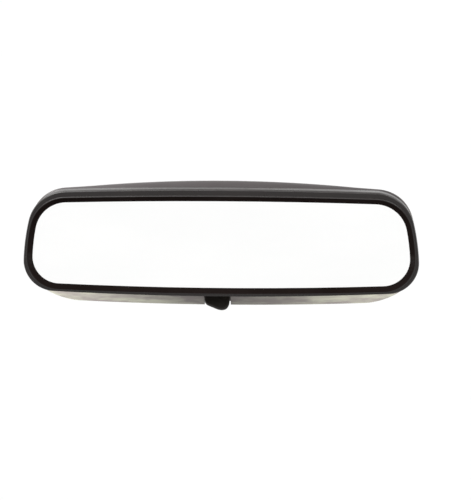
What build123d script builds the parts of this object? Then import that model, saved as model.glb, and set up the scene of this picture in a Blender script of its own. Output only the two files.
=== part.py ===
"""Interior rearview mirror with a day and night lever, on a ball arm for a windscreen button.

Every length is in millimetres. The row frame has its origin at the centre of the adhesive pad's
glass face, +X to the right of someone facing the mirror, +Y away from them and +Z up.
Pieces of the head are drawn in the head frame, whose origin is the centre of the frame's front,
and pieces of the foot in the foot frame, where +Z is the windscreen's normal.
"""

from build123d import *

import os
from dataclasses import dataclass, replace
from math import cos, hypot, radians, sin, sqrt, tan

# ---- Driving dimensions: where the head, the ball and the hinges stand in the head frame ----
HEAD_Y, HEAD_Z = -84.0, -17.0
WINDSCREEN_ANGLE = 35.0
BALL_Y = 26.5
BALL_R = 8.0
HINGE_Y, HINGE_Z = 17.0, 24.0
PIVOT_Y, PIVOT_Z = 21.0, -29.0
LEVER_X = -2.5
DIP_DEG = 4.3
FLIP_DEG = 46.0

RUN = 0.05  # radial clearance of a running fit
SNUG = 0.03  # clearance between parts that are fixed together

# ---- Bezel, measured inwards from its outer outline and back from the crest of its bead ----
BEZEL_DEPTH = 11.2
SKIRT_END = 15.6
POCKET_INSET = 3.6
SKIRT_INSET = 2.3
ROLL_W, ROLL_D = 1.15, 4.2
FACE_BACK = 0.8
LIP_BACK = 3.0
LIP_EDGE = 0.45
BEAD_FOOT, BEAD_CREST, BEAD_IN = 3.9, 3.25, 2.55
BACK_BEVEL = 0.45
HOOK_HALF, HOOK_T = 5.0, 1.2
HOOK_ROOT, HOOK_NOSE, HOOK_CATCH = 3.0, 1.6, 0.6
HOOK_SINK, HOOK_BITE = 0.1, 0.5
HOOK_PLAY = 0.3
HOOKS = [(x, 1) for x in (-78, -34, 34, 78)] + [(x, -1) for x in (-84, -42, 42, 84)]

# ---- Glass: a wedge, thick at the top ----
GLASS_FRONT = LIP_BACK + 0.05
GLASS_INSET = POCKET_INSET + 0.2
GLASS_THIN, GLASS_THICK = 2.4, 5.3
HEAD_SPAN, HEAD_REACH = 130.0, 60.0  # a half width and a height, both beyond the head
FOAM_T = 1.8
FOAM_WIDTH = 9.0

# ---- Rear housing ----
RIM_Y = 11.45
FLARE_START, FLARE_END = 14.3, 22.0
BACK_Y = 38.0
RIM_INSET = 1.0
RIM_WALL = 1.2
WALL = 2.3
TURNS = (-58, -42, -26, -10, 18, 38, 56, 70, 81, 90)  # shared by both skins, to keep the wall even
OPENING_R, OPENING_Z = 17.0, -0.4
GROMMET_R = 15.7
RIB_X = (42, 68, 94)
RIB_HALF, RIB_Z, RIB_FRONT_Z = 0.9, 19.0, 28.6
LUG_CUT_Z = 5.0
WALL_REACH = 45.0  # a height beyond the shell, from which lugs and ribs are trimmed back to it

# ---- Ball socket, as radii about the ball's centre ----
SEAT_R = BALL_R + 1.35
CUP_R = SEAT_R + RUN + 0.8
SOCKET_IN = CUP_R + RUN
SOCKET_R = SOCKET_IN + 2.35
MOUTH_DEG = 55.0
RELIEF_DEG = 32.0
FLANGE_R, FLANGE_T = 17.0, 2.2
SCREW_CIRCLE = 14.8
SCREW_R, SCREW_HEAD_R, SCREW_HEAD_T = 1.0, 1.9, 1.3

# ---- Hinge, fork and lever ----
HINGE_PIN_R = 1.75
BUSH_R = 3.0
EAR_X, EAR_T = 13.0, 5.0
LUG_X, LUG_T = EAR_X + EAR_T + 0.65, 4.6
CLIP_T = 0.6
CRANK_PIN_R = 1.5
CHEEK_IN, CHEEK_OUT = 3.0, 8.1
FORK_HALF = 2.5
FORK_GAP = CRANK_PIN_R + 0.1
SHOE_T = 0.8
PRONG_T = 2.0
FORK_END = 2.15
PIVOT_LUG_IN, PIVOT_LUG_T = 8.5, 3.4
CAM_FLAT = 3.7
LEAF_T, LEAF_H, LEAF_HALF = 0.5, 4.2, 24.0
LEAF_SCREW_X = 20.5
LEAF_Z = PIVOT_Z - 0.9
TAB_LEAN = 28.0
TAB_HALF, TAB_T = 8.0, 2.8
TAB_SHOULDER = 12.0
TAB_TIP, TAB_TIP_X = 18.5, 2.8
SLOT_FRONT, SLOT_BACK = 14.6, 28.2

# ---- Arm and foot, the foot measured down from the windscreen's glass ----
NECK_R = 3.6
COLLAR_Y = BALL_Y + 13.5
ARM_R = 5.3
SHANK_R, SHANK_L = 2.8, 11.0
FOOT_W, FOOT_L, FOOT_T = 31.0, 39.0, 11.4
GLASS_GAP = 0.9
PAD_T = 0.6
BUTTON_T = 5.0
BUTTON_W, BUTTON_L = 22.0, 31.0
BUTTON_BEVEL = 1.7
GRUB_R = 2.5
GRUB_ALONG = -11.0


def crank_radius():
    """The crank's length, so that a full flip of the lever dips the head by its full angle."""
    dip, half_flip = radians(DIP_DEG), radians(FLIP_DEG / 2)
    drop, back = HINGE_Z - PIVOT_Z, PIVOT_Y - HINGE_Y
    reach = drop * sin(dip) - back * (1 - cos(dip))
    return reach / (sin(half_flip) * (1 + cos(dip)) + cos(half_flip) * sin(dip))


CRANK = crank_radius()
CRANK_Y = PIVOT_Y + CRANK * sin(radians(FLIP_DEG / 2))
CRANK_Z = PIVOT_Z + CRANK * cos(radians(FLIP_DEG / 2))


@dataclass(frozen=True)
class Outline:
    """A rounded outline seen from the front, symmetric left to right and made of eight arcs."""

    top: float
    bottom: float
    half: float
    waist: float
    top_bow: float
    bottom_bow: float
    side_bow: float
    top_corner: float
    bottom_corner: float


FRAME = Outline(34.2, -34.7, 125.6, -19.0, 2900.0, 2200.0, 134.0, 25.5, 19.6)
WINDOW = Outline(26.3, -29.3, 119.9, -17.6, 3600.0, 2580.0, 130.0, 20.5, 17.0)
BELLY = Outline(37.0, -43.7, 108.0, 0.0, 930.0, 2200.0, 150.0, 17.0, 16.0)
BACK = Outline(24.0, -28.0, 88.0, 0.0, 900.0, 1500.0, 150.0, 16.0, 19.0)


def inset(shape, by):
    """The same outline, drawn inwards by a distance."""
    return Outline(
        shape.top - by,
        shape.bottom + by,
        shape.half - by,
        shape.waist,
        shape.top_bow - by,
        shape.bottom_bow - by,
        shape.side_bow - by,
        max(shape.top_corner - by, 2.0),
        max(shape.bottom_corner - by, 2.0),
    )


def between(a, b, share):
    """An outline part of the way from a to b."""
    mixed = {k: getattr(a, k) + (getattr(b, k) - getattr(a, k)) * share for k in a.__dataclass_fields__}
    return replace(a, **mixed)


def corner_centre(c1, r1, c2, r2, sign):
    """Where two circles cross on the right, above for sign 1 and below for sign -1."""
    dx, dz = c2[0] - c1[0], c2[1] - c1[1]
    d = hypot(dx, dz)
    a = (r1 * r1 - r2 * r2 + d * d) / (2 * d)
    h = sqrt(r1 * r1 - a * a)
    mid = (c1[0] + dx * a / d, c1[1] + dz * a / d)
    ends = [(mid[0] - dz * h / d * s, mid[1] + dx * h / d * s) for s in (1, -1)]
    return max(ends, key=lambda p: p[0] + sign * p[1])


def on_circle(centre, through, radius):
    """The point of a circle that lies beyond another point, seen from its centre."""
    d = hypot(through[0] - centre[0], through[1] - centre[1])
    return tuple(c + (t - c) * radius / d for c, t in zip(centre, through))


def mid_arc(centre, start, end, radius):
    """The middle of the shorter arc between two points of a circle."""
    return on_circle(centre, ((start[0] + end[0]) / 2, (start[1] + end[1]) / 2), radius)


def outline_wire(o, y):
    """An outline as a closed wire at a depth."""
    top_c, bottom_c = (0.0, o.top - o.top_bow), (0.0, o.bottom + o.bottom_bow)
    side_c = (o.half - o.side_bow, o.waist)
    f1 = corner_centre(top_c, o.top_bow - o.top_corner, side_c, o.side_bow - o.top_corner, 1)
    f2 = corner_centre(bottom_c, o.bottom_bow - o.bottom_corner, side_c, o.side_bow - o.bottom_corner, -1)
    a = on_circle(top_c, f1, o.top_bow)
    b = on_circle(side_c, f1, o.side_bow)
    c = on_circle(side_c, f2, o.side_bow)
    d = on_circle(bottom_c, f2, o.bottom_bow)
    right = [
        (a, mid_arc(f1, a, b, o.top_corner), b),
        (b, mid_arc(side_c, b, c, o.side_bow), c),
        (c, mid_arc(f2, c, d, o.bottom_corner), d),
    ]
    flip = [tuple((-x, z) for x, z in reversed(arc)) for arc in reversed(right)]
    top = ((-a[0], a[1]), (0.0, o.top), a)
    bottom = (d, (0.0, o.bottom), (-d[0], d[1]))
    arcs = [top, *right, bottom, *flip]
    return Wire([ThreePointArc(*[(x, y, z) for x, z in arc]).edge() for arc in arcs])


def outline_prism(o, y_from, y_to):
    """A straight prism of an outline between two depths."""
    return extrude(Face(outline_wire(o, y_from)), amount=y_to - y_from, dir=(0, 1, 0))


def block(x, y, z):
    """A box between (low, high) pairs along each axis."""
    size = [b - a for a, b in (x, y, z)]
    return Pos(*[(a + b) / 2 for a, b in (x, y, z)]) * Box(*size)


def x_rod(radius, x, y, z):
    """A rod along X between a (low, high) pair, centred on a depth and a height."""
    rod = Rot(0, 90, 0) * Cylinder(radius, x[1] - x[0])
    return Pos((x[0] + x[1]) / 2, y, z) * rod


def y_rod(radius, y, x=0.0, z=0.0):
    """A rod along Y between a (low, high) pair."""
    return Pos(x, (y[0] + y[1]) / 2, z) * (Rot(90, 0, 0) * Cylinder(radius, y[1] - y[0]))


def yz_plate(points, x, corner=0.0):
    """A plate with an outline of (depth, height) points, between a (low, high) pair along X."""
    face = make_face(Polyline(*points, close=True))
    if corner:
        face = fillet(face.vertices(), corner)
    return Pos(x[0], 0, 0) * extrude(Plane.YZ * face, amount=x[1] - x[0])


def mirrored(part):
    """A part and its mirror image on the other side of the head."""
    return [part, mirror(part, about=Plane.YZ)]


def fuse(*parts):
    """One shape from several, with shared faces merged."""
    body = parts[0]
    for part in parts[1:]:
        body = body + part
    return body


# ------------------------------------------------------------------ bezel, glass and foam


def ring_section():
    """The bezel's outer ring in (inset, depth) from the frame's outline: roll, flat face, pocket and skirt."""
    inner = FRAME.top - WINDOW.top + 1.0
    edge = BACK_BEVEL
    roll = Bezier((0.0, ROLL_D), (0.0, 0.45 * ROLL_D), (0.45 * ROLL_W, FACE_BACK), (ROLL_W, FACE_BACK))
    rest = Polyline(
        (ROLL_W, FACE_BACK),
        (inner, FACE_BACK),
        (inner, LIP_BACK),
        (POCKET_INSET, LIP_BACK),
        (POCKET_INSET, SKIRT_END),
        (SKIRT_INSET, SKIRT_END),
        (SKIRT_INSET, BEZEL_DEPTH),
        (edge, BEZEL_DEPTH),
        (0.0, BEZEL_DEPTH - edge),
        (0.0, ROLL_D),
    )
    return make_face([roll, *rest.edges()])


def bead_section():
    """The window's rim in (inset, depth) from the window's outline: bead and sloping lip."""
    foot, crest, inside = (-BEAD_FOOT, FACE_BACK + 0.1), (-BEAD_CREST, 0.0), (-BEAD_IN, LIP_EDGE)
    bead = [
        Bezier(foot, (-BEAD_FOOT + 0.2, 0.0), crest),
        Bezier(crest, (-BEAD_CREST + 0.3, 0.0), inside),
    ]
    rest = Polyline(inside, (0.0, LIP_BACK - LIP_EDGE), (0.0, LIP_BACK), (-BEAD_FOOT, LIP_BACK), foot)
    return make_face(bead + rest.edges())


def swept(section, outline):
    """A section in (inset, depth) swept round an outline."""
    path = outline_wire(outline, 0.0)
    edge = path.edges().sort_by(Axis.Z)[-1]
    along = edge % 0.5
    inwards = Vector(0, 0, -1)
    normal = along if inwards.cross(Vector(0, 1, 0)).dot(along) > 0 else along * -1
    return sweep(Plane(origin=edge @ 0.5, x_dir=inwards, z_dir=normal) * section, path=path)


def hook_wall(x, side):
    """The height of the skirt's outer face at a hook, above (side 1) or below (side -1)."""
    edge, bow = (FRAME.top, FRAME.top_bow) if side > 0 else (-FRAME.bottom, FRAME.bottom_bow)
    return edge - x * x / (2 * bow) - SKIRT_INSET


def bezel_hook(x, side):
    """A snap hook on the end of the skirt, at the top or the bottom edge."""
    wall = hook_wall(x, side)
    inner = wall - HOOK_SINK - HOOK_T
    shape = [
        (SKIRT_END - HOOK_ROOT, inner),
        (SKIRT_END + HOOK_NOSE, inner),
        (SKIRT_END + HOOK_NOSE, wall - HOOK_BITE),
        (SKIRT_END - HOOK_CATCH, wall + HOOK_BITE),
        (SKIRT_END - HOOK_CATCH, wall - HOOK_SINK),
        (SKIRT_END - HOOK_ROOT, wall - HOOK_SINK),
    ]
    return yz_plate([(y, side * z) for y, z in shape], (x - HOOK_HALF, x + HOOK_HALF))


def hook_pocket(x, side):
    """The recess in the housing's wall that a snap hook springs into."""
    wall = hook_wall(x, side)
    half = HOOK_HALF + HOOK_PLAY
    y = (SKIRT_END - HOOK_CATCH - RUN, SKIRT_END + HOOK_NOSE + 2 * HOOK_PLAY)
    z = sorted((side * (wall - HOOK_SINK - HOOK_T - 0.7), side * (wall + HOOK_BITE + HOOK_PLAY / 2)))
    return block((x - half, x + half), y, z)


def front_bezel():
    """The moulded frame that holds the glass: outer ring, window rim and snap hooks."""
    middle = (BEAD_FOOT + BEAD_CREST) / 2
    ring = swept(ring_section(), FRAME) - outline_prism(inset(WINDOW, -middle), -1.0, LIP_BACK + 1.0)
    return fuse(ring, swept(bead_section(), WINDOW), *[bezel_hook(x, side) for x, side in HOOKS])


def glass_back(z):
    """The depth of the wedge glass's back face at a height."""
    low, high = FRAME.bottom + GLASS_INSET, FRAME.top - GLASS_INSET
    return GLASS_FRONT + GLASS_THIN + (GLASS_THICK - GLASS_THIN) * (z - low) / (high - low)


def behind_glass(offset, depth):
    """A slab as wide as the head that follows the glass's back face from an offset to a depth behind it."""
    low, high = -HEAD_REACH, HEAD_REACH
    points = [(glass_back(z) + offset, z) for z in (low, high)]
    points += [(glass_back(z) + offset + depth, z) for z in (high, low)]
    return yz_plate(points, (-HEAD_SPAN, HEAD_SPAN))


def mirror_glass():
    """The prismatic glass, whose silvered back face is tilted against its front face."""
    blank = outline_prism(inset(FRAME, GLASS_INSET), GLASS_FRONT, SKIRT_END)
    return blank & behind_glass(-20.0, 20.0)


def glass_cushion():
    """The foam ring between the glass's back and the housing's ribs."""
    outer = outline_prism(inset(FRAME, GLASS_INSET + 1.0), GLASS_FRONT, SKIRT_END)
    inner = outline_prism(inset(FRAME, GLASS_INSET + 1.0 + FOAM_WIDTH), GLASS_FRONT, SKIRT_END)
    return (outer - inner) & behind_glass(SNUG, FOAM_T)


# ------------------------------------------------------------------ rear housing


def shell_section(turn, y_back, by):
    """An outline of the shell and its depth: turn runs from -90 at the flare's foot to 90 at the back."""
    rise, fall = sin(radians(90 + turn)), 1 - cos(radians(turn))
    if turn < 0:
        y = FLARE_END + (FLARE_END - FLARE_START) * turn / 90
        shape = between(inset(FRAME, RIM_INSET), BELLY, rise)
        side = FRAME.half - RIM_INSET + (BELLY.half - FRAME.half) * max(0.0, 1 + turn / 75) ** 1.3
    else:
        y = FLARE_END + (y_back - FLARE_END) * sin(radians(turn))
        shape = between(BELLY, BACK, fall)
        side = BELLY.half + (BACK.half - BELLY.half) * (fall + sin(radians(turn))) / 2
    return inset(replace(shape, half=side), by), y


def skin(sections):
    """A solid lofted smoothly through outlines at their depths."""
    return loft([Face(outline_wire(o, y)) for o, y in sections])


def housing_solid():
    """The housing's outer form, before it is hollowed."""
    shell = skin([shell_section(turn, BACK_Y, 0.0) for turn in (-90, -73, *TURNS)])
    return fuse(outline_prism(inset(FRAME, RIM_INSET), RIM_Y, FLARE_START), shell)


def housing_hollow():
    """The space inside the housing."""
    rim, turn_y = inset(FRAME, RIM_INSET + RIM_WALL), SKIRT_END + 0.1
    shell = skin([(rim, turn_y), *[shell_section(turn, BACK_Y - WALL, WALL) for turn in TURNS]])
    return fuse(outline_prism(rim, RIM_Y - 1, turn_y), shell)


def hinge_lug():
    """The right-hand lug that carries the head's hinge pin."""
    plate = block((LUG_X, LUG_X + LUG_T), (HINGE_Y - 4.4, BACK_Y), (HINGE_Z - 4.6, WALL_REACH))
    return plate - block((0, 40), (0, SKIRT_END + 0.2), (HINGE_Z + LUG_CUT_Z, WALL_REACH))


def pivot_lug(side):
    """A lug that carries one end of the lever's pivot pin."""
    near, far = LEVER_X + side * PIVOT_LUG_IN, LEVER_X + side * (PIVOT_LUG_IN + PIVOT_LUG_T)
    return block(sorted((near, far)), (PIVOT_Y - 4.2, PIVOT_Y + 3.2), (-WALL_REACH, PIVOT_Z + 3.6))


def leaf_boss(side):
    """A boss that carries one end of the leaf spring."""
    x = LEVER_X + side * LEAF_SCREW_X
    front = PIVOT_Y + CAM_FLAT + LEAF_T + SNUG
    return block((x - 3.4, x + 3.4), (front, BACK_Y), (LEAF_Z - LEAF_H / 2 - 6.5, LEAF_Z + LEAF_H / 2 + 0.6))


def cushion_rib(x, side):
    """A rib that presses the foam against the glass, at the top or the bottom of the housing."""
    z = sorted((side * RIB_Z, side * WALL_REACH))
    rib = block((x - RIB_HALF, x + RIB_HALF), (GLASS_FRONT, BACK_Y), z)
    beside_skirt = sorted((side * RIB_FRONT_Z, side * (WALL_REACH + 1)))
    return rib - block((x - 1, x + 1), (0, SKIRT_END + 0.2), beside_skirt)


def rear_housing():
    """The moulded rear shell with its lugs, ribs, lever slot and arm opening."""
    solid, hollow = housing_solid(), housing_hollow()
    inside = [*mirrored(hinge_lug()), pivot_lug(1), pivot_lug(-1), leaf_boss(1), leaf_boss(-1)]
    inside += [cushion_rib(sx * x, side) for x in RIB_X for sx in (-1, 1) for side in (-1, 1)]
    stiffening = fuse(*inside) & fuse(solid, outline_prism(inset(FRAME, 4.0), 0, RIM_Y + 1))
    body = fuse(solid - hollow, stiffening - behind_glass(-20.0, 20.0 + FOAM_T + 2 * SNUG))
    slot_x = (LEVER_X - PIVOT_LUG_IN, LEVER_X + PIVOT_LUG_IN)
    body = body - block(slot_x, (SLOT_FRONT, SLOT_BACK), (-50, PIVOT_Z + 8))
    body = body - y_rod(OPENING_R, (BACK_Y - 6, BACK_Y + 6), 0, OPENING_Z)
    body = body - x_rod(HINGE_PIN_R + SNUG, (-40, 40), HINGE_Y, HINGE_Z)
    body = body - x_rod(CRANK_PIN_R + SNUG, (-30, 30), PIVOT_Y, PIVOT_Z)
    for side in (-1, 1):
        x = LEVER_X + side * LEAF_SCREW_X
        body = body - y_rod(SCREW_R + SNUG, (PIVOT_Y, PIVOT_Y + CAM_FLAT + 9.0), x, LEAF_Z)
    return body - fuse(*[hook_pocket(x, side) for x, side in HOOKS])


def opening_grommet():
    """The rubber ring that lines the opening the arm passes through."""
    lip = 1.3
    ring = y_rod(OPENING_R + 2.0, (BACK_Y - WALL - lip, BACK_Y + lip), 0, OPENING_Z)
    groove = y_rod(OPENING_R + 5, (BACK_Y - WALL - SNUG, BACK_Y + SNUG), 0, OPENING_Z)
    groove = groove - y_rod(OPENING_R - SNUG, (0, 60), 0, OPENING_Z)
    return ring - groove - y_rod(GROMMET_R, (0, 60), 0, OPENING_Z)


# ------------------------------------------------------------------ ball joint


def ball_place(part):
    """A part drawn about the origin, moved to the ball's centre."""
    return Pos(0, BALL_Y, 0) * part


def mouth_cone(angle, towards):
    """A cone with its point at the origin, opening backwards (1) or forwards (-1)."""
    length = 20.0
    cone = Cone(length * tan(radians(angle)), 0, length)
    return Pos(0, towards * length / 2, 0) * (Rot(towards * 90, 0, 0) * cone)


def ball_shell(inner, outer, slits, slit_width):
    """A springy cup round the ball, open at both poles and slit from its mouth."""
    shell = Sphere(outer) - Sphere(inner) - mouth_cone(MOUTH_DEG, 1) - mouth_cone(RELIEF_DEG, -1)
    for i in range(slits):
        cut = block((0, 20), (-1.5, 20), (-slit_width / 2, slit_width / 2))
        shell = shell - Rot(0, 360 / slits * (i + 0.5), 0) * cut
    return ball_place(shell)


def ball_seat():
    """The nylon seat that turns on the ball."""
    return ball_shell(BALL_R + RUN, SEAT_R, 4, 1.2)


def spring_cup():
    """The spring steel cup that squeezes the seat onto the ball."""
    return ball_shell(SEAT_R + RUN, CUP_R, 6, 1.6)


def socket_flange(y):
    """A bolting flange round the socket, between a (low, high) pair of depths from the ball's centre."""
    return y_rod(FLANGE_R, y) - Sphere(SOCKET_IN)


def at_screws(part):
    """Four copies of a part, drawn about the origin, at the socket's screw positions."""
    places = [45, 135, 225, 315]
    return [Rot(0, a, 0) * (Pos(SCREW_CIRCLE, 0, 0) * part) for a in places]


def ear():
    """The right-hand arm of the bracket, which carries a hinge bush."""
    back = BALL_Y
    points = [
        (back, -6.0),
        (back, 12.0),
        (HINGE_Y + 5.2, HINGE_Z + 1.5),
        (HINGE_Y + 2.2, HINGE_Z + 4.9),
        (HINGE_Y - 2.2, HINGE_Z + 4.9),
        (HINGE_Y - 4.9, HINGE_Z + 2.2),
        (HINGE_Y - 4.9, HINGE_Z - 2.2),
        (HINGE_Y - 1.5, HINGE_Z - 6.5),
        (back - 6.0, 9.0),
        (back - 4.2, -6.0),
    ]
    return yz_plate(points, (EAR_X, EAR_X + EAR_T), 0.9)


def fork():
    """The tongue below the socket, with an open slot that the crank pin slides in."""
    half = FORK_GAP + SHOE_T + PRONG_T
    end = CRANK_Z - FORK_END
    top = CRANK_Z + 5.2
    points = [
        (BALL_Y, -10.0),
        (BALL_Y, top + 2.0),
        (CRANK_Y + half, top),
        (CRANK_Y + half, end),
        (CRANK_Y - half, end),
        (CRANK_Y - half, top),
        (BALL_Y - 5.5, -14.5),
        (BALL_Y - 5.5, -10.0),
    ]
    x = (LEVER_X - FORK_HALF, LEVER_X + FORK_HALF)
    slot_half = FORK_GAP + SHOE_T + SNUG
    slot_y = (CRANK_Y - slot_half, CRANK_Y + slot_half)
    slot = block((x[0] - 1, x[1] + 1), slot_y, (end - 5, CRANK_Z + 3.0 + SNUG))
    return yz_plate(points, x) - slot


def fork_shoe():
    """The nylon liner in the fork's slot that the crank pin bears on."""
    x = (LEVER_X - FORK_HALF, LEVER_X + FORK_HALF)
    half = FORK_GAP + SHOE_T
    outer = block(x, (CRANK_Y - half, CRANK_Y + half), (CRANK_Z - FORK_END, CRANK_Z + 3.0))
    return outer - block(x, (CRANK_Y - FORK_GAP, CRANK_Y + FORK_GAP), (CRANK_Z - 9, CRANK_Z + 3.0 - SHOE_T))


def tilt_bracket():
    """The die-cast bracket: front half of the ball socket, hinge arms and crank fork."""
    front = block((-20, 20), (-20, 0), (-20, 20))
    bosses = at_screws(y_rod(2.3, (-7.0, 0.0)))
    socket = fuse(Sphere(SOCKET_R) & front, y_rod(FLANGE_R, (-FLANGE_T, 0.0)), *bosses)
    arms = fuse(*mirrored(ear()), block((-EAR_X, EAR_X), (BALL_Y - 5.5, BALL_Y - 2.5), (7.0, 15.5)))
    body = fuse(ball_place(socket), arms, fork())
    cuts = fuse(Sphere(SOCKET_IN), *at_screws(y_rod(SCREW_R + SNUG, (-6.0, 1.0))))
    body = body - ball_place(cuts)
    return body - x_rod(BUSH_R + SNUG, (-30, 30), HINGE_Y, HINGE_Z)


def socket_retainer():
    """The rear half of the ball socket, a flanged ring screwed to the bracket."""
    rear = block((-20, 20), (SNUG, 20), (-20, 20))
    ring = fuse(Sphere(SOCKET_R) & rear, y_rod(FLANGE_R, (SNUG, FLANGE_T)))
    cuts = fuse(Sphere(SOCKET_IN), mouth_cone(MOUTH_DEG, 1), *at_screws(y_rod(SCREW_R + 0.12, (-1, 5))))
    return ball_place(ring - cuts)


def screw(length):
    """A pan-head screw along Y, its head on the +Y side of the origin, with a cross recess."""
    head = y_rod(SCREW_HEAD_R, (SNUG, SCREW_HEAD_T))
    head = fillet(head.edges().filter_by(GeomType.CIRCLE).sort_by(Axis.Y)[-1], 0.5)
    cross = fuse(*[block((-a, a), (SCREW_HEAD_T - 0.7, 3), (-b, b)) for a, b in ((0.25, 1.1), (1.1, 0.25))])
    return fuse(head, y_rod(SCREW_R, (-length, SNUG))) - cross


def retainer_screws():
    """The four screws that close the socket."""
    screws = [ball_place(Pos(0, FLANGE_T, 0) * s) for s in at_screws(screw(FLANGE_T + 4.8))]
    return Compound(children=screws)


# ------------------------------------------------------------------ hinge pin, lever and toggle


def hinge_bushes():
    """Two flanged bushes, pressed into the bracket's ears, that run on the hinge pin."""
    bush = x_rod(BUSH_R, (EAR_X, EAR_X + EAR_T), HINGE_Y, HINGE_Z)
    flange = x_rod(BUSH_R + 1.2, (EAR_X + EAR_T + SNUG, EAR_X + EAR_T + 0.5), HINGE_Y, HINGE_Z)
    neck = x_rod(BUSH_R, (EAR_X + EAR_T, EAR_X + EAR_T + 0.2), HINGE_Y, HINGE_Z)
    bore = x_rod(HINGE_PIN_R + RUN, (0, 40), HINGE_Y, HINGE_Z)
    return Compound(children=mirrored(fuse(bush, neck, flange) - bore))


def pin_with_grooves(radius, half, groove_x, y, z, middle=0.0):
    """A pin along X with chamfered ends and a clip groove near each end."""
    pin = x_rod(radius, (middle - half, middle + half), y, z)
    pin = chamfer(pin.edges().filter_by(GeomType.CIRCLE), 0.35)
    for side in (-1, 1):
        x = sorted(middle + side * g for g in (groove_x, groove_x + CLIP_T + 0.1))
        pin = pin - (x_rod(radius + 1, x, y, z) - x_rod(radius - 0.45, x, y, z))
    return pin


def clips(radius, groove_x, y, z, middle=0.0):
    """Two open retaining clips in a pin's grooves."""
    made = []
    for side in (-1, 1):
        x = sorted(middle + side * (groove_x + g) for g in (0.05, 0.05 + CLIP_T))
        ring = x_rod(radius + 1.8, x, y, z) - x_rod(radius - 0.45 + SNUG, x, y, z)
        gap = block((x[0] - 1, x[1] + 1), (y - radius * 0.62, y + radius * 0.62), (z - radius - 3, z))
        lobes = [x_rod(0.5, (x[0] - 1, x[1] + 1), y + s * (radius + 0.55), z + 0.4) for s in (-1, 1)]
        made.append(ring - gap - fuse(*lobes))
    return Compound(children=made)


def lever_hub():
    """The lever's hub about its pivot, with two cam flats and the crank's lobe, as a (Y, Z) plate."""
    x = (LEVER_X - CHEEK_OUT, LEVER_X + CHEEK_OUT)
    radius = CAM_FLAT / cos(radians(FLIP_DEG / 2))
    hub = x_rod(radius, x, PIVOT_Y, PIVOT_Z)
    lobe = x_rod(CRANK_PIN_R + 1.5, x, CRANK_Y, CRANK_Z)
    link = block(x, (-CRANK_PIN_R - 1.5, CRANK_PIN_R + 1.5), (0, CRANK))
    link = Pos(0, PIVOT_Y, PIVOT_Z) * (Rot(-FLIP_DEG / 2, 0, 0) * link)
    hub = fuse(hub, lobe, link)
    for turn in (0.0, -FLIP_DEG):
        flat = block((-40, 40), (CAM_FLAT, CAM_FLAT + 3), (-2.5, 1.6 if turn == 0 else 2.5))
        hub = hub - Pos(0, PIVOT_Y, PIVOT_Z) * (Rot(turn, 0, 0) * flat)
    return hub


def lever_tab():
    """The finger tab, a rounded plate below the hub that leans towards the driver."""
    left, right, shoulder = -TAB_HALF, TAB_HALF, -TAB_SHOULDER
    curve = [(left, shoulder), (left + 3.9, -TAB_TIP + 2.3), (TAB_TIP_X, -TAB_TIP), (right, shoulder)]
    outline = [
        Line((left, 0), (left, shoulder)),
        Spline(*curve, tangents=[(0, -1), (0, 1)]),
        Line((right, shoulder), (right, 0)),
        Line((right, 0), (left, 0)),
    ]
    face = Plane(origin=(0, TAB_T / 2, 0), x_dir=(1, 0, 0), z_dir=(0, -1, 0)) * make_face(outline)
    plate = extrude(face, amount=TAB_T)
    rims = [e for e in plate.edges() if abs(e.center().Y) > TAB_T / 2 - 0.01 and e.center().Z < -1]
    plate = fillet(rims, 1.0)
    return Pos(LEVER_X, PIVOT_Y, PIVOT_Z) * (Rot(-TAB_LEAN, 0, 0) * plate)


def day_night_lever():
    """The moulded lever: hub cheeks either side of the fork, and the finger tab."""
    body = fuse(lever_hub(), lever_tab())
    gap_x = (LEVER_X - CHEEK_IN, LEVER_X + CHEEK_IN)
    gap = block(gap_x, (PIVOT_Y - 12, PIVOT_Y + 12), (PIVOT_Z - 2.6, PIVOT_Z + 12))
    body = body - gap
    body = body - x_rod(CRANK_PIN_R + RUN, (-30, 30), PIVOT_Y, PIVOT_Z)
    return body - x_rod(CRANK_PIN_R + SNUG, (-30, 30), CRANK_Y, CRANK_Z)


def crank_pin():
    """The pin across the lever's cheeks that works in the fork."""
    return x_rod(CRANK_PIN_R, (LEVER_X - CHEEK_OUT, LEVER_X + CHEEK_OUT), CRANK_Y, CRANK_Z)


def toggle_spring():
    """The leaf spring that holds the lever on one of its two cam flats."""
    y = (PIVOT_Y + CAM_FLAT + SNUG / 2, PIVOT_Y + CAM_FLAT + LEAF_T)
    leaf = block((LEVER_X - LEAF_HALF, LEVER_X + LEAF_HALF), y, (LEAF_Z - LEAF_H / 2, LEAF_Z + LEAF_H / 2))
    leaf = fillet(leaf.edges().filter_by(Axis.Y), 1.2)
    hole = y_rod(SCREW_R + 0.1, (y[0] - 1, y[1] + 1), LEVER_X - LEAF_SCREW_X, LEAF_Z)
    slot_x = [LEVER_X + LEAF_SCREW_X + s for s in (-0.7, 0, 0.7)]
    slot = [y_rod(SCREW_R + 0.1, (y[0] - 1, y[1] + 1), x, LEAF_Z) for x in slot_x]
    return leaf - fuse(hole, *slot)


def spring_screws():
    """The two screws that hold the leaf spring to the housing."""
    y = PIVOT_Y + CAM_FLAT
    made = []
    for side in (-1, 1):
        forward = Rot(0, 0, 180) * screw(LEAF_T + 6.0)
        made.append(Pos(LEVER_X + side * LEAF_SCREW_X, y, LEAF_Z) * forward)
    return Compound(children=made)


# ------------------------------------------------------------------ arm, foot and button


def foot_place(part):
    """A part drawn in the foot frame, moved to the head frame."""
    return Pos(0, -HEAD_Y, -HEAD_Z) * (Rot(-WINDSCREEN_ANGLE, 0, 0) * part)


def ball_stud():
    """The steel ball with its neck and the plain shank that sits in the arm."""
    neck = y_rod(NECK_R, (BALL_Y + 2, COLLAR_Y))
    shank = y_rod(SHANK_R, (COLLAR_Y, COLLAR_Y + SHANK_L))
    flat = block((-10, 10), (-10, -BALL_R + 0.8), (-10, 10))
    return fuse(ball_place(Sphere(BALL_R) - flat), neck, shank)


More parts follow.
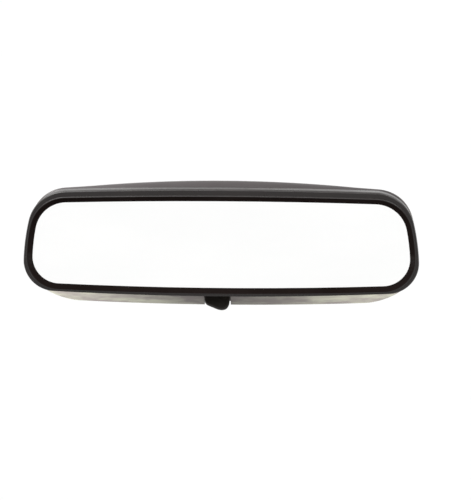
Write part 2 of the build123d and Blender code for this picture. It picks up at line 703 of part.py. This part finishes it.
def arm_limb():
    """The round limb from behind the head up to the foot."""
    foot_y, foot_z = FOOT_T * sin(radians(WINDSCREEN_ANGLE)), FOOT_T * cos(radians(WINDSCREEN_ANGLE))
    end = (0, -HEAD_Y - foot_y + 1.0, -HEAD_Z - foot_z + 0.2)
    path = Spline((0, COLLAR_Y, 0), end, tangents=[(0, 1, 0), (0, 1, 0.62)])
    start = Plane(origin=(0, COLLAR_Y, 0), x_dir=(1, 0, 0), z_dir=(0, 1, 0))
    return sweep(start * Circle(ARM_R), path=path)


def foot_block():
    """The foot under the windscreen, rounded at its corners and along its lower edge."""
    y = (-FOOT_L / 2, FOOT_L / 2)
    body = block((-FOOT_W / 2, FOOT_W / 2), y, (-GLASS_GAP - FOOT_T, -GLASS_GAP))
    body = fillet(body.edges().filter_by(Axis.Z), 6.5)
    return fillet(body.edges().group_by(Axis.Z)[0], 3.4)


def dovetail(grow, y):
    """The button's section, wide away from the glass, drawn larger by a clearance all round."""
    wide, narrow = BUTTON_W / 2 + grow, BUTTON_W / 2 - BUTTON_BEVEL + grow
    top, base = -PAD_T + (4 if grow else 0), -PAD_T - BUTTON_T - grow
    points = [(-wide, base), (wide, base), (narrow, -PAD_T), (narrow, top), (-narrow, top), (-narrow, -PAD_T)]
    if not grow:
        points = [(-wide, base), (wide, base), (narrow, -PAD_T), (-narrow, -PAD_T)]
    end = Plane(origin=(0, y[0], 0), x_dir=(1, 0, 0), z_dir=(0, -1, 0))
    face = end * make_face(Polyline(*points, close=True))
    return extrude(face, amount=y[0] - y[1])


def windscreen_button():
    """The metal button glued to the windscreen, with dovetail sides."""
    body = dovetail(0.0, (-BUTTON_L / 2, BUTTON_L / 2))
    long_edges = [e for e in body.edges() if abs(e.center().X) > 5 and abs(e.center().Y) > BUTTON_L / 2 - 0.1]
    return foot_place(fillet(long_edges, 2.0))


def adhesive_pad():
    """The adhesive pad between the button and the glass."""
    half = BUTTON_W / 2 - BUTTON_BEVEL
    pad = block((-half, half), (-BUTTON_L / 2, BUTTON_L / 2), (-PAD_T, 0))
    return foot_place(fillet(pad.edges().filter_by(Axis.Z), 2.0))


def mount_arm():
    """The die-cast foot and arm in one piece, with the button's channel and the set screw's hole."""
    channel = dovetail(0.08, (-BUTTON_L / 2 - 0.1, FOOT_L))
    grub_hole = Pos(0, GRUB_ALONG, -12) * Cylinder(GRUB_R + SNUG, 20)
    body = fuse(foot_place(foot_block()), arm_limb())
    body = body - foot_place(channel) - foot_place(grub_hole)
    return body - y_rod(SHANK_R + SNUG, (COLLAR_Y - 1, COLLAR_Y + SHANK_L + 0.5))


def set_screw():
    """The socket set screw that locks the foot on the button."""
    tip, tail = -PAD_T - BUTTON_T - RUN, -GLASS_GAP - FOOT_T + 0.8
    body = Pos(0, GRUB_ALONG, (tip + tail) / 2) * Cylinder(GRUB_R, tip - tail)
    body = chamfer(body.edges().filter_by(GeomType.CIRCLE).sort_by(Axis.Z)[-1], 0.5)
    socket = Pos(0, GRUB_ALONG, tail) * extrude(RegularPolygon(1.4, 6), amount=2.2)
    return foot_place(body - socket)


PIN_GROOVE = LUG_X + LUG_T + 0.15
PIVOT_GROOVE = PIVOT_LUG_IN + PIVOT_LUG_T + 0.15

PARTS = {
    "front_bezel": front_bezel,
    "mirror_glass": mirror_glass,
    "glass_cushion": glass_cushion,
    "rear_housing": rear_housing,
    "opening_grommet": opening_grommet,
    "hinge_pin": lambda: pin_with_grooves(HINGE_PIN_R, PIN_GROOVE + 1.7, PIN_GROOVE, HINGE_Y, HINGE_Z),
    "hinge_clips": lambda: clips(HINGE_PIN_R, PIN_GROOVE, HINGE_Y, HINGE_Z),
    "lever_pivot_pin": lambda: pin_with_grooves(
        CRANK_PIN_R, PIVOT_GROOVE + 1.6, PIVOT_GROOVE, PIVOT_Y, PIVOT_Z, LEVER_X
    ),
    "pivot_clips": lambda: clips(CRANK_PIN_R, PIVOT_GROOVE, PIVOT_Y, PIVOT_Z, LEVER_X),
    "toggle_spring": toggle_spring,
    "spring_screws": spring_screws,
    "day_night_lever": day_night_lever,
    "crank_pin": crank_pin,
    "tilt_bracket": tilt_bracket,
    "fork_shoe": fork_shoe,
    "hinge_bushes": hinge_bushes,
    "socket_retainer": socket_retainer,
    "retainer_screws": retainer_screws,
    "spring_cup": spring_cup,
    "ball_seat": ball_seat,
    "ball_stud": ball_stud,
    "mount_arm": mount_arm,
    "set_screw": set_screw,
    "windscreen_button": windscreen_button,
    "adhesive_pad": adhesive_pad,
}


def main():
    """Write every part to its own file in the row frame."""
    os.makedirs("parts", exist_ok=True)
    for name, make in PARTS.items():
        part = Pos(0, HEAD_Y, HEAD_Z) * make()
        part.label = name
        export_step(part, f"parts/{name}.step")


if __name__ == "__main__":
    main()
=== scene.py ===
import math

import bpy
from mathutils import Matrix, Vector


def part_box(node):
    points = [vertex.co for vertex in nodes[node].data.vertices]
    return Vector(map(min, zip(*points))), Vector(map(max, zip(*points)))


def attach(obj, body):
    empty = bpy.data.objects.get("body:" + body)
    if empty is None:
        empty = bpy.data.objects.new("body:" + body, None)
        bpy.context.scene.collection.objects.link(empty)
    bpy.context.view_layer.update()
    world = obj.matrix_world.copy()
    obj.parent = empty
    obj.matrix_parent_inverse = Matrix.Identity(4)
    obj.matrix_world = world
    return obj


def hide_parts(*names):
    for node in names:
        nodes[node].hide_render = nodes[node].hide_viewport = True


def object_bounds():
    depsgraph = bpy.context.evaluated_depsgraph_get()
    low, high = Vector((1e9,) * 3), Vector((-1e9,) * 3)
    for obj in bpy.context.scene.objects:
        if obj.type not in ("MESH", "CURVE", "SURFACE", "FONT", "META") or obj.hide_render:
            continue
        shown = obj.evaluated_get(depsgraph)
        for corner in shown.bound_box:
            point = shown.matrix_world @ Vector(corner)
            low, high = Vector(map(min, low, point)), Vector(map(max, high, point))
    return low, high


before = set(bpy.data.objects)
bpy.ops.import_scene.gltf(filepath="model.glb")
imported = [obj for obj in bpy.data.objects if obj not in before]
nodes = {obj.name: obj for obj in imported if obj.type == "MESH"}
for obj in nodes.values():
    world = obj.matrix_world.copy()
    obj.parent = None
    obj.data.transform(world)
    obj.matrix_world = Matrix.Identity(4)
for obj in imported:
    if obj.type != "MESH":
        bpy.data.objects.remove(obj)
cad_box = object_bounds()

# ---- The camera, in metres and degrees: a long lens above and to the right of the mirror's face ----
VIEW_DISTANCE = 1.0
VIEW_ABOVE = 9.0
VIEW_RIGHT = 3.0
VIEW_ROLL = -0.03
LENS_MM, SENSOR_MM = 114.3, 36.0
SHIFT_X, SHIFT_Y = 0.0313, -0.0127

FLOOR_DROP = 0.30
FLOOR_HALF = 12.0
MM = 0.001


# ------------------------------------------------------------------ material nodes


def new_material(name):
    """An empty node material: the material, its principled shader and its node tree."""
    material = bpy.data.materials.new(name)
    material.use_nodes = True
    return material, material.node_tree.nodes["Principled BSDF"], material.node_tree


def coordinates(tree, stretch=(1.0, 1.0, 1.0)):
    """Object coordinates in metres, which are the row frame's on every CAD node, stretched along each axis."""
    place = tree.nodes.new("ShaderNodeTexCoord").outputs["Object"]
    mapping = tree.nodes.new("ShaderNodeMapping")
    mapping.inputs["Scale"].default_value = stretch
    tree.links.new(place, mapping.inputs["Vector"])
    return mapping.outputs["Vector"]


def noise(tree, vector, size, detail=2.0, roughness=0.5):
    """A noise texture's value with features of a size in metres."""
    node = tree.nodes.new("ShaderNodeTexNoise")
    node.inputs["Scale"].default_value = 1.0 / size
    node.inputs["Detail"].default_value = detail
    node.inputs["Roughness"].default_value = roughness
    tree.links.new(vector, node.inputs["Vector"])
    return node.outputs["Fac"]


def remap(tree, value, low, high, from_low=0.3, from_high=0.7):
    """A value mapped from one range to another, and held at its ends."""
    node = tree.nodes.new("ShaderNodeMapRange")
    node.inputs["From Min"].default_value = from_low
    node.inputs["From Max"].default_value = from_high
    node.inputs["To Min"].default_value = low
    node.inputs["To Max"].default_value = high
    tree.links.new(value, node.inputs["Value"])
    return node.outputs["Result"]


def mix_colour(tree, factor, a, b):
    """Two colours mixed by a factor; each is a triple or another node's output."""
    node = tree.nodes.new("ShaderNodeMix")
    node.data_type = "RGBA"
    tree.links.new(factor, node.inputs["Factor"])
    for name, colour in (("A", a), ("B", b)):
        if isinstance(colour, tuple):
            node.inputs[name].default_value = (*colour, 1)
        else:
            tree.links.new(colour, node.inputs[name])
    return node.outputs["Result"]


def multiply(tree, a, b):
    """The product of two values."""
    node = tree.nodes.new("ShaderNodeMath")
    node.operation = "MULTIPLY"
    tree.links.new(a, node.inputs[0])
    tree.links.new(b, node.inputs[1])
    return node.outputs["Value"]


def rounded_normal(tree, radius):
    """The surface's normal, rounded over its edges."""
    node = tree.nodes.new("ShaderNodeBevel")
    node.samples = 4
    node.inputs["Radius"].default_value = radius
    return node.outputs["Normal"]


def edge_mask(tree, radius):
    """1 along edges and 0 on open faces, from how far the rounded normal leaves the true one."""
    dot = tree.nodes.new("ShaderNodeVectorMath")
    dot.operation = "DOT_PRODUCT"
    geometry = tree.nodes.new("ShaderNodeNewGeometry")
    tree.links.new(rounded_normal(tree, radius), dot.inputs[0])
    tree.links.new(geometry.outputs["Normal"], dot.inputs[1])
    return remap(tree, dot.outputs["Value"], 1.0, 0.0, 0.80, 0.985)


def bump(tree, shader, height, distance, edge_radius):
    """Bump from a height, its distance in metres, over a normal that is rounded at edges."""
    node = tree.nodes.new("ShaderNodeBump")
    node.inputs["Distance"].default_value = distance
    tree.links.new(height, node.inputs["Height"])
    if edge_radius:
        tree.links.new(rounded_normal(tree, edge_radius), node.inputs["Normal"])
    tree.links.new(node.outputs["Normal"], shader.inputs["Normal"])


def facing_down(tree, from_z, to_z):
    """1 on surfaces that face down, fading to 0 between two heights of the normal."""
    height = tree.nodes.new("ShaderNodeSeparateXYZ")
    tree.links.new(tree.nodes.new("ShaderNodeNewGeometry").outputs["Normal"], height.inputs["Vector"])
    return remap(tree, height.outputs["Z"], 1.0, 0.0, from_z, to_z)


def plastic(
    name, dark, light, roughness, specular=0.5, grain=0.45 * MM, depth=0.012 * MM, wear=0.35, painted_shade_mask=None, dust_and_painted_light=None
):
    """Moulded plastic: grain, wide faint mottling, handling marks, rubbed edges, an optional underside dust that is
    lighter than the body and also paints in light from below, and optional painted shade that takes the reflection
    away.
    """
    material, shader, tree = new_material(name)
    where = coordinates(tree)
    mottle = remap(tree, noise(tree, where, 26 * MM, 3.0), 0.0, 1.0)
    speck = noise(tree, where, grain, 4.0, 0.65)
    smear = noise(tree, coordinates(tree, (0.35, 1.0, 1.0)), 7 * MM, 5.0, 0.6)
    rubbed = multiply(tree, edge_mask(tree, 0.5 * MM), remap(tree, noise(tree, where, 5 * MM, 4.0), 0.1, 1.0))
    worn = tuple(min(1.0, c * 1.9 + 0.006) for c in light)
    body = mix_colour(tree, mottle, dark, light)
    # Dust streaks on down-facing surfaces in a lighter colour than the body: partly dust, partly painted light from
    # below.
    if dust_and_painted_light:
        dust_and_light_film = remap(tree, noise(tree, coordinates(tree, (0.3, 1.0, 1.6)), 7 * MM, 6.0, 0.62), 0.0, 0.75, 0.40, 0.60)
        body = mix_colour(tree, multiply(tree, dust_and_light_film, facing_down(tree, -0.6, -0.2)), body, dust_and_painted_light)
    tree.links.new(mix_colour(tree, remap(tree, rubbed, 0.0, wear, 0.0, 1.0), body, worn), shader.inputs["Base Color"])
    tree.links.new(remap(tree, smear, roughness - 0.07, roughness + 0.07), shader.inputs["Roughness"])
    # Painted shade: where the mask is high the specular reflection fades to nothing, so those surfaces look shaded.
    if painted_shade_mask:
        tree.links.new(remap(tree, painted_shade_mask(tree), specular, 0.0, 0.0, 1.0), shader.inputs["Specular IOR Level"])
    else:
        shader.inputs["Specular IOR Level"].default_value = specular
    bump(tree, shader, speck, depth, 0.2 * MM)
    return material


def window_lip(tree):
    """High on the bezel's slope round the glass, which faces the middle of the window, and 0 elsewhere."""
    low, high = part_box("front_bezel")
    offset = tree.nodes.new("ShaderNodeVectorMath")
    offset.operation = "SUBTRACT"
    offset.inputs[0].default_value = (0.0, 0.0, (low.z + high.z) / 2)
    tree.links.new(tree.nodes.new("ShaderNodeTexCoord").outputs["Object"], offset.inputs[1])
    flat = tree.nodes.new("ShaderNodeVectorMath")
    flat.operation = "MULTIPLY"
    flat.inputs[1].default_value = (0.06, 0.0, 1.0)
    tree.links.new(offset.outputs["Vector"], flat.inputs[0])
    towards = tree.nodes.new("ShaderNodeVectorMath")
    towards.operation = "NORMALIZE"
    tree.links.new(flat.outputs["Vector"], towards.inputs[0])
    facing = tree.nodes.new("ShaderNodeVectorMath")
    facing.operation = "DOT_PRODUCT"
    tree.links.new(towards.outputs["Vector"], facing.inputs[0])
    tree.links.new(tree.nodes.new("ShaderNodeNewGeometry").outputs["True Normal"], facing.inputs[1])
    return remap(tree, facing.outputs["Value"], 0.0, 1.0, 0.15, 0.45)


def bezel_painted_shade(tree):
    """Painted shade on the bezel: the slope round the glass and the underside, which see little light, as a mask that
    takes their reflection away.
    """
    either = tree.nodes.new("ShaderNodeMath")
    either.operation = "MAXIMUM"
    tree.links.new(window_lip(tree), either.inputs[0])
    tree.links.new(facing_down(tree, -0.9, -0.5), either.inputs[1])
    return either.outputs["Value"]


def metal(name, colour, roughness, stretch=(1.0, 1.0, 1.0), grain=0.5 * MM, depth=0.006 * MM, tarnish=0.25):
    """Bare metal: fine grain, stretched where it was drawn or turned, with tarnish away from its edges."""
    material, shader, tree = new_material(name)
    fine = noise(tree, coordinates(tree, stretch), grain, 4.0, 0.65)
    patches = noise(tree, coordinates(tree), 4 * MM, 5.0, 0.6)
    dull = tuple(c * (1.0 - tarnish) * w for c, w in zip(colour, (1.0, 0.96, 0.88)))
    bright = tuple(min(1.0, c * 1.18) for c in colour)
    body = mix_colour(tree, remap(tree, patches, 0.0, 1.0), dull, colour)
    tree.links.new(mix_colour(tree, edge_mask(tree, 0.25 * MM), body, bright), shader.inputs["Base Color"])
    tree.links.new(remap(tree, fine, roughness - 0.08, roughness + 0.1), shader.inputs["Roughness"])
    shader.inputs["Metallic"].default_value = 1.0
    bump(tree, shader, fine, depth, 0.15 * MM)
    return material


def cast_metal(name, colour, roughness):
    """As-cast zinc: a coarse skin with small pits under the fine grain."""
    return metal(name, colour, roughness, grain=0.9 * MM, depth=0.03 * MM, tarnish=0.35)


def coating(name, colour, roughness):
    """Powder coat: an orange-peel skin that is worn thin along edges."""
    material, shader, tree = new_material(name)
    where = coordinates(tree)
    peel = noise(tree, where, 1.1 * MM, 2.0, 0.4)
    patches = remap(tree, noise(tree, where, 2.2 * MM, 4.0), 0.0, 1.0, 0.5, 0.62)
    chips = multiply(tree, edge_mask(tree, 0.35 * MM), patches)
    lighter = tuple(c * 1.5 for c in colour)
    body = mix_colour(tree, remap(tree, noise(tree, where, 14 * MM, 3.0), 0.0, 1.0), colour, lighter)
    tree.links.new(mix_colour(tree, chips, body, (0.16, 0.16, 0.16)), shader.inputs["Base Color"])
    tree.links.new(remap(tree, peel, roughness - 0.04, roughness + 0.06), shader.inputs["Roughness"])
    bump(tree, shader, peel, 0.03 * MM, 0.2 * MM)
    return material


def nylon(name, colour):
    """Natural nylon: milky, faintly translucent and slightly uneven."""
    material, shader, tree = new_material(name)
    where = coordinates(tree)
    yellowed = tuple(c * w for c, w in zip(colour, (0.95, 0.9, 0.78)))
    cloud = remap(tree, noise(tree, where, 3 * MM, 3.0), 0.0, 1.0)
    tree.links.new(mix_colour(tree, cloud, yellowed, colour), shader.inputs["Base Color"])
    shader.inputs["Roughness"].default_value = 0.38
    shader.inputs["Subsurface Weight"].default_value = 0.25
    shader.inputs["Subsurface Scale"].default_value = 1.0 * MM
    bump(tree, shader, noise(tree, where, 0.4 * MM, 3.0), 0.006 * MM, 0.15 * MM)
    return material


def rubber(name, colour, cell, depth, pale):
    """Rubber or foam: matt, with cells of a size and a chalky bloom."""
    material, shader, tree = new_material(name)
    where = coordinates(tree)
    cells = tree.nodes.new("ShaderNodeTexVoronoi")
    cells.inputs["Scale"].default_value = 1.0 / cell
    tree.links.new(where, cells.inputs["Vector"])
    bloom = remap(tree, noise(tree, where, 6 * MM, 4.0), 0.0, 1.0)
    tree.links.new(mix_colour(tree, bloom, colour, pale), shader.inputs["Base Color"])
    tree.links.new(remap(tree, bloom, 0.72, 0.9, 0.0, 1.0), shader.inputs["Roughness"])
    shader.inputs["Specular IOR Level"].default_value = 0.3
    bump(tree, shader, cells.outputs["Distance"], depth, 0.0)
    return material


def silvered_glass():
    """Silvered glass with a very faint haze of wiping marks."""
    material, shader, tree = new_material("silvered_glass")
    wiped = noise(tree, coordinates(tree, (0.4, 1.0, 1.0)), 30 * MM, 4.0)
    haze = mix_colour(tree, remap(tree, wiped, 0.0, 1.0), (0.955, 0.96, 0.955), (0.98, 0.98, 0.975))
    tree.links.new(haze, shader.inputs["Base Color"])
    tree.links.new(remap(tree, wiped, 0.003, 0.014), shader.inputs["Roughness"])
    shader.inputs["Metallic"].default_value = 1.0
    return material


def paint(node, material):
    """Gives a CAD node one material."""
    mesh = nodes[node].data
    mesh.materials.clear()
    mesh.materials.append(material)


# The bezel's reflection is taken off the slope round the glass and off its underside: painted shade.
bezel_plastic = plastic(
    "bezel_plastic", (0.0075, 0.0052, 0.0047), (0.0110, 0.0080, 0.0073), 0.30, 0.36, wear=0.25, painted_shade_mask=bezel_painted_shade
)
# The shell's underside dust is lighter than the body: partly dust, partly painted light from below.
shell_plastic = plastic(
    "shell_plastic", (0.068, 0.0585, 0.0590), (0.084, 0.0725, 0.0730), 0.5, 0.4, 0.55 * MM, 0.02 * MM,
    dust_and_painted_light=(0.150, 0.147, 0.124),
)
lever_plastic = plastic("lever_plastic", (0.0105, 0.0086, 0.0070), (0.0145, 0.0120, 0.0100), 0.42, 0.25)
plated = metal("zinc_plating", (0.68, 0.68, 0.64), 0.28, (1.0, 6.0, 6.0))
steel = metal("spring_steel", (0.30, 0.31, 0.34), 0.3, (0.15, 1.0, 1.0))
bronze = metal("sintered_bronze", (0.52, 0.35, 0.18), 0.42, grain=0.25 * MM, depth=0.012 * MM)
zinc = cast_metal("cast_zinc", (0.45, 0.45, 0.46), 0.46)
coat = coating("powder_coat", (0.014, 0.014, 0.0145), 0.44)
natural_nylon = nylon("natural_nylon", (0.78, 0.76, 0.68))
black_rubber = rubber("black_rubber", (0.012, 0.012, 0.012), 0.3 * MM, 0.02 * MM, (0.026, 0.026, 0.025))
black_foam = rubber("closed_cell_foam", (0.014, 0.014, 0.015), 0.55 * MM, 0.12 * MM, (0.03, 0.03, 0.031))
grey_tape = rubber("acrylic_tape", (0.36, 0.36, 0.35), 0.5 * MM, 0.03 * MM, (0.46, 0.46, 0.45))

FINISH = {
    "front_bezel": bezel_plastic,
    "mirror_glass": silvered_glass(),
    "rear_housing": shell_plastic,
    "opening_grommet": black_rubber,
    "hinge_pin": plated,
    "hinge_clips": steel,
    "lever_pivot_pin": plated,
    "pivot_clips": steel,
    "toggle_spring": steel,
    "spring_screws": plated,
    "day_night_lever": lever_plastic,
    "crank_pin": plated,
    "tilt_bracket": zinc,
    "fork_shoe": natural_nylon,
    "hinge_bushes": bronze,
    "socket_retainer": zinc,
    "retainer_screws": plated,
    "spring_cup": steel,
    "ball_seat": natural_nylon,
    "ball_stud": plated,
    "mount_arm": coat,
    "set_screw": steel,
    "windscreen_button": zinc,
}
for node, material in FINISH.items():
    paint(node, material)


# ------------------------------------------------------------------ soft pieces


def applied(piece):
    """Turns a piece's modifiers into its mesh."""
    bpy.context.view_layer.update()
    shaped = piece.evaluated_get(bpy.context.evaluated_depsgraph_get())
    mesh = bpy.data.meshes.new_from_object(shaped)
    piece.modifiers.clear()
    piece.data = mesh


def soft_piece(name, node, body, material, voxel, rounding, ripple, ripple_size):
    """A soft piece in a CAD solid's place: its form with rounded edges and an uneven skin."""
    piece = bpy.data.objects.new(name, nodes[node].data.copy())
    bpy.context.scene.collection.objects.link(piece)
    piece.data.materials.clear()
    piece.data.materials.append(material)
    remesh = piece.modifiers.new("remesh", "REMESH")
    remesh.mode = "VOXEL"
    remesh.voxel_size = voxel
    remesh.use_smooth_shade = True
    smooth = piece.modifiers.new("smooth", "SMOOTH")
    smooth.factor = 0.5
    smooth.iterations = rounding
    skin = bpy.data.textures.new(name + "_skin", "CLOUDS")
    skin.noise_scale = ripple_size
    skin.noise_depth = 1
    uneven = piece.modifiers.new("uneven", "DISPLACE")
    uneven.texture = skin
    uneven.texture_coords = "GLOBAL"
    uneven.strength = ripple
    uneven.mid_level = 1.0
    applied(piece)
    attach(piece, body)
    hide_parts(node)
    return piece


soft_piece("foam_strip", "glass_cushion", "head", black_foam, 0.5 * MM, 3, 0.12 * MM, 3.0 * MM)
soft_piece("tape_pad", "adhesive_pad", "button", grey_tape, 0.15 * MM, 3, 0.04 * MM, 1.5 * MM)


# ------------------------------------------------------------------ floor, light and camera


def head_front():
    """The centre of the bezel's front, which the camera looks at."""
    low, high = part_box("front_bezel")
    return Vector(((low.x + high.x) / 2, low.y, (low.z + high.z) / 2))


def add_camera(target):
    """The camera at the photograph's viewing angle."""
    above, right = math.radians(VIEW_ABOVE), math.radians(VIEW_RIGHT)
    away = Vector((math.sin(right) * math.cos(above), -math.cos(right) * math.cos(above), math.sin(above)))
    data = bpy.data.cameras.new("camera")
    data.sensor_fit = "VERTICAL"
    data.sensor_height = SENSOR_MM
    data.lens = LENS_MM
    data.shift_x, data.shift_y = SHIFT_X, SHIFT_Y
    data.clip_start, data.clip_end = 0.05, 100.0
    camera = bpy.data.objects.new("camera", data)
    bpy.context.scene.collection.objects.link(camera)
    turn = (-away).to_track_quat("-Z", "Y").to_matrix().to_4x4()
    roll = Matrix.Rotation(math.radians(VIEW_ROLL), 4, "Z")
    camera.matrix_world = Matrix.Translation(target + away * VIEW_DISTANCE) @ turn @ roll
    bpy.context.scene.camera = camera


def add_floor(low):
    """A plain pale floor below the mirror."""
    bpy.ops.mesh.primitive_plane_add(size=2 * FLOOR_HALF, location=(0, 0, low - FLOOR_DROP))
    floor = bpy.context.object
    floor.name = "floor"
    material, shader, tree = new_material("floor_white")
    shader.inputs["Base Color"].default_value = (0.9, 0.9, 0.9, 1)
    shader.inputs["Roughness"].default_value = 0.9
    shader.inputs["Emission Color"].default_value = (1, 1, 1, 1)
    shader.inputs["Emission Strength"].default_value = 0.1
    floor.data.materials.append(material)


def add_area(name, at, look_at, size, power, only, spread=180.0, glossy=True, colour=(1, 1, 1)):
    """A square soft light that the camera doesn't see, and that falls on the named nodes only."""
    data = bpy.data.lights.new(name, "AREA")
    data.shape = "SQUARE"
    data.size = size
    data.energy = power
    data.color = colour
    data.spread = math.radians(spread)
    light = bpy.data.objects.new(name, data)
    bpy.context.scene.collection.objects.link(light)
    light.matrix_world = Matrix.Translation(at) @ (look_at - at).to_track_quat("-Z", "Y").to_matrix().to_4x4()
    light.visible_camera = False
    light.visible_glossy = glossy
    lit = bpy.data.collections.new(name + "_falls_on")
    for node in only:
        lit.objects.link(nodes[node])
    light.light_linking.receiver_collection = lit


def add_world(strength):
    """An even white surround."""
    world = bpy.data.worlds.new("studio")
    world.use_nodes = True
    world.node_tree.nodes["Background"].inputs["Color"].default_value = (1, 1, 1, 1)
    world.node_tree.nodes["Background"].inputs["Strength"].default_value = strength
    bpy.context.scene.world = world


target = head_front()
add_camera(target)
add_floor(cad_box[0][2])
add_world(1.02)
FRONT = ("front_bezel", "day_night_lever")
SHELL = ("rear_housing",)
add_area("over_left", target + Vector((-0.5, 0.1, 0.75)), target, 0.55, 9.0, FRONT)
add_area("over_right", target + Vector((0.6, 0.05, 0.8)), target, 0.5, 4.0, FRONT)
add_area("over_front", target + Vector((-0.1, -0.45, 0.75)), target, 0.6, 5.0, FRONT)
add_area("over_shell", target + Vector((-0.35, 0.1, 0.35)), target + Vector((-0.11, 0.02, 0.03)), 0.15, 0.12, SHELL, 40.0)
for name, side, power in (("under_left", -1, 0.30), ("under_right", 1, 0.27)):
    place, strip_end = Vector((side * 0.20, -0.40, -0.12)), Vector((side * 0.115, 0.02, -0.04))
    add_area(name, target + place, target + strip_end, 0.10, power, SHELL, 24.0, False, (0.95, 1.0, 0.90))
bpy.context.scene.view_settings.view_transform = "Standard"
